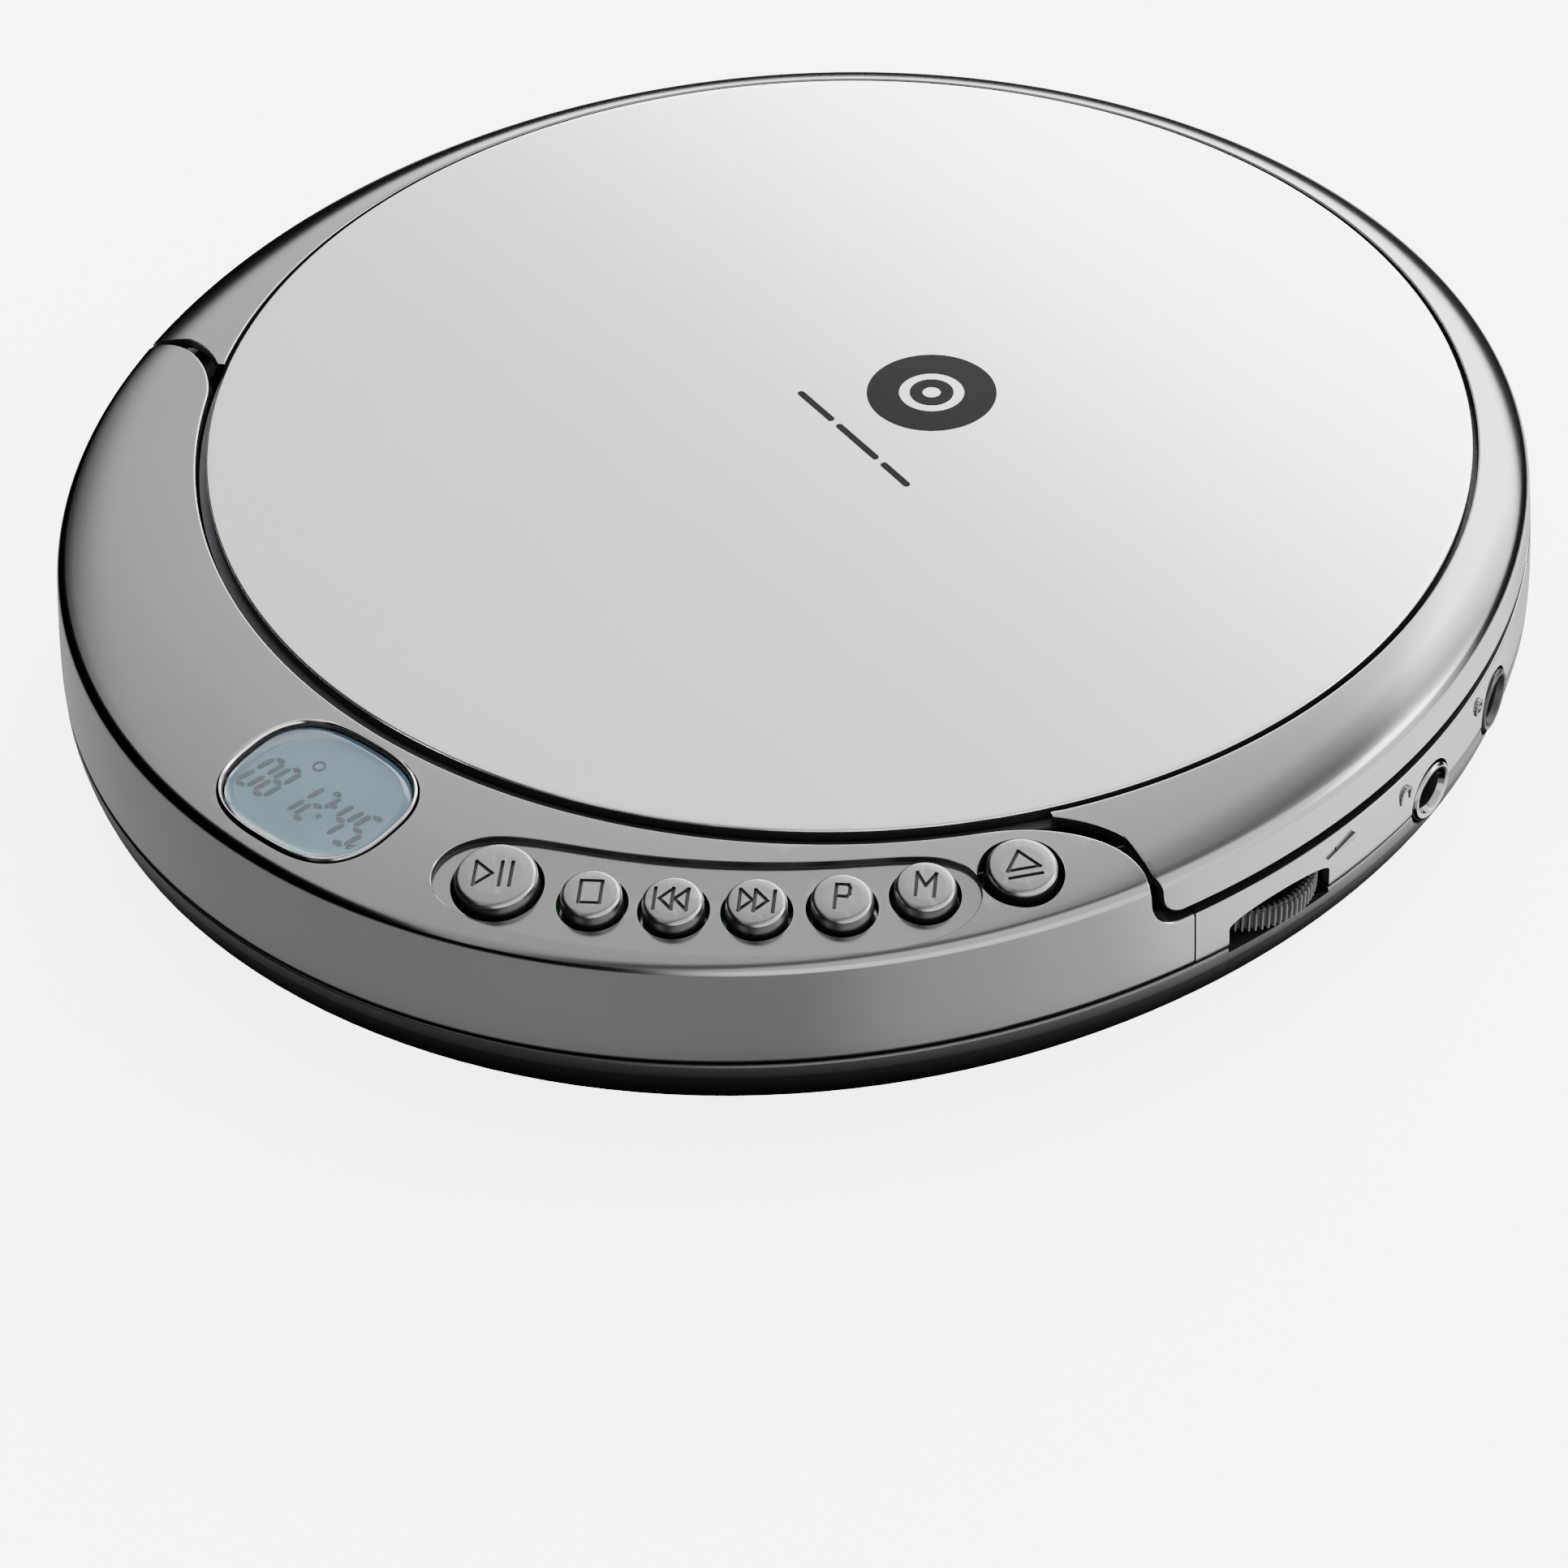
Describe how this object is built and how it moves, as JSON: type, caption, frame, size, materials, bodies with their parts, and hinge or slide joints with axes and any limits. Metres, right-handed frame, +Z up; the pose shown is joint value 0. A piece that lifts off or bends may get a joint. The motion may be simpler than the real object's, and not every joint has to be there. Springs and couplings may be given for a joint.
{
  "type": "portable cd player",
  "caption": "Round portable disc player: clamshell lid over a disc bay, front crescent with display and keys, side volume wheel and sockets, battery bay below.",
  "frame": {"origin": "middle of the case in plan, on the surface that the feet stand on", "axes": "+Z up, -Y the front with the display, +X the side with the volume wheel and the sockets"},
  "size_m": [0.1358, 0.1452, 0.0275],
  "materials": {
    "graphite_shell": "fine metallic grain, satin",
    "silver_lacquer": "metallised silver lacquer, glossy",
    "lid_mirror": "bright silver, mirror gloss",
    "satin_key": "satin silver",
    "bright_trim": "chrome-bright metallised",
    "clear_window": "clear, polished",
    "display_glass": "blue-grey liquid crystal",
    "charcoal_tray": "fine matt texture",
    "charcoal_wheel": "satin, ridged",
    "black_plastic": "satin",
    "rubber": "matt",
    "steel": "bright",
    "nickel": "nickel plated",
    "brass": "machined",
    "circuit_board": "solder mask",
    "nylon": "satin",
    "lens_glass": "coated",
    "cell_wrap": "gloss printed wrap"
  },
  "bodies": {
    "case": {"bottom_case": "graphite_shell", "upper_housing": "silver_lacquer", "side_panel": "silver_lacquer", "hinge_pin": "steel", "aa_cell_1": "cell_wrap", "aa_cell_2": "cell_wrap", "battery_bridge_contact": "nickel", "battery_plus_contact": "nickel", "battery_minus_contact": "nickel", "foot_1": "rubber", "foot_2": "rubber", "foot_3": "rubber", "foot_4": "rubber", "case_screw_1": "steel", "case_screw_2": "steel", "case_screw_3": "steel", "case_screw_4": "steel", "display_bezel": "bright_trim", "display_window": "clear_window", "display_module": "display_glass", "key_board": "circuit_board", "latch_spring": "steel", "volume_potentiometer": "black_plastic", "phones_socket": "bright_trim", "power_socket": "black_plastic", "disc_tray": "charcoal_tray", "mechanism_chassis": "black_plastic", "damper_1": "rubber", "damper_2": "rubber", "damper_3": "rubber", "damper_4": "rubber", "guide_rod_left": "steel", "guide_rod_right": "steel", "spindle_motor": "steel", "sled_motor": "steel", "main_board": "circuit_board"},
    "lid": {"lid_frame": "silver_lacquer", "lid_panel": "lid_mirror"},
    "battery_door": {"battery_door": "graphite_shell"},
    "play_button": {"play_button": "satin_key"},
    "stop_button": {"stop_button": "satin_key"},
    "previous_button": {"previous_button": "satin_key"},
    "next_button": {"next_button": "satin_key"},
    "program_button": {"program_button": "satin_key"},
    "mode_button": {"mode_button": "satin_key"},
    "open_button": {"open_button": "satin_key"},
    "latch": {"latch_slider": "nylon"},
    "volume_wheel": {"volume_wheel": "charcoal_wheel"},
    "turntable": {"turntable": "black_plastic"},
    "pickup": {"pickup_sled": "black_plastic"},
    "lens": {"objective_lens": "lens_glass"},
    "drive_gear": {"drive_gear": "nylon"},
    "motor_pinion": {"motor_pinion": "brass"}
  },
  "joints": [
    {"name": "lid_hinge", "type": "hinge", "parent": "case", "child": "lid", "pos_m": [0, 0.0712, 0.0196], "axis": [-1, 0, 0], "range_deg": [0, 75]},
    {"name": "play_press", "type": "slide", "parent": "case", "child": "play_button", "axis": [-0.0365, 0.118, -0.9923], "range_m": [0, 0.0005], "stiffness_N_per_m": 400},
    {"name": "stop_press", "type": "slide", "parent": "case", "child": "stop_button", "axis": [-0.0529, 0.1182, -0.9916], "range_m": [0, 0.0005], "stiffness_N_per_m": 400},
    {"name": "previous_press", "type": "slide", "parent": "case", "child": "previous_button", "axis": [-0.0677, 0.1182, -0.9907], "range_m": [0, 0.0005], "stiffness_N_per_m": 400},
    {"name": "next_press", "type": "slide", "parent": "case", "child": "next_button", "axis": [-0.0842, 0.1177, -0.9895], "range_m": [0, 0.0005], "stiffness_N_per_m": 400},
    {"name": "program_press", "type": "slide", "parent": "case", "child": "program_button", "axis": [-0.1033, 0.1164, -0.9878], "range_m": [0, 0.0005], "stiffness_N_per_m": 400},
    {"name": "mode_press", "type": "slide", "parent": "case", "child": "mode_button", "axis": [-0.1247, 0.1139, -0.9856], "range_m": [0, 0.0005], "stiffness_N_per_m": 400},
    {"name": "open_press", "type": "slide", "parent": "case", "child": "open_button", "axis": [-0.1536, 0.1083, -0.9822], "range_m": [0, 0.0008], "stiffness_N_per_m": 500},
    {"name": "latch_slide", "type": "slide", "parent": "case", "child": "latch", "axis": [0.8171, -0.5764, 0], "range_m": [0, 0.0008], "deforming": ["latch_spring"]},
    {"name": "volume_turn", "type": "hinge", "parent": "case", "child": "volume_wheel", "pos_m": [0.06047, -0.01023, 0.0142], "axis": [0, 0, 1], "range_deg": [-135, 135]},
    {"name": "turntable_spin", "type": "hinge", "parent": "case", "child": "turntable", "pos_m": [0, 0.0062, 0.018], "axis": [0, 0, 1], "continuous": true},
    {"name": "pickup_slide", "type": "slide", "parent": "case", "child": "pickup", "axis": [0, -1, 0], "range_m": [0, 0.032]},
    {"name": "lens_focus", "type": "slide", "parent": "pickup", "child": "lens", "axis": [0, 0, 1], "range_m": [-0.0004, 0.0005], "stiffness_N_per_m": 20},
    {"name": "drive_gear_spin", "type": "hinge", "parent": "case", "child": "drive_gear", "pos_m": [0.02025, -0.0228, 0.0171], "axis": [0, 0, 1], "range_deg": [0, 280]},
    {"name": "motor_pinion_spin", "type": "hinge", "parent": "case", "child": "motor_pinion", "pos_m": [0.02951, -0.02552, 0.0171], "axis": [0, 0, 1], "range_deg": [-615, 0]},
    {"name": "battery_door_slide", "type": "slide", "parent": "case", "child": "battery_door", "axis": [0, 1, 0], "range_m": [0, 0.034]}
  ],
  "couplings": [
    {"joint": "latch_slide", "follows": "open_press", "ratio": 1},
    {"joint": "drive_gear_spin", "follows": "pickup_slide", "rad_per_m": 151.52},
    {"joint": "motor_pinion_spin", "follows": "pickup_slide", "rad_per_m": -333.33}
  ]
}
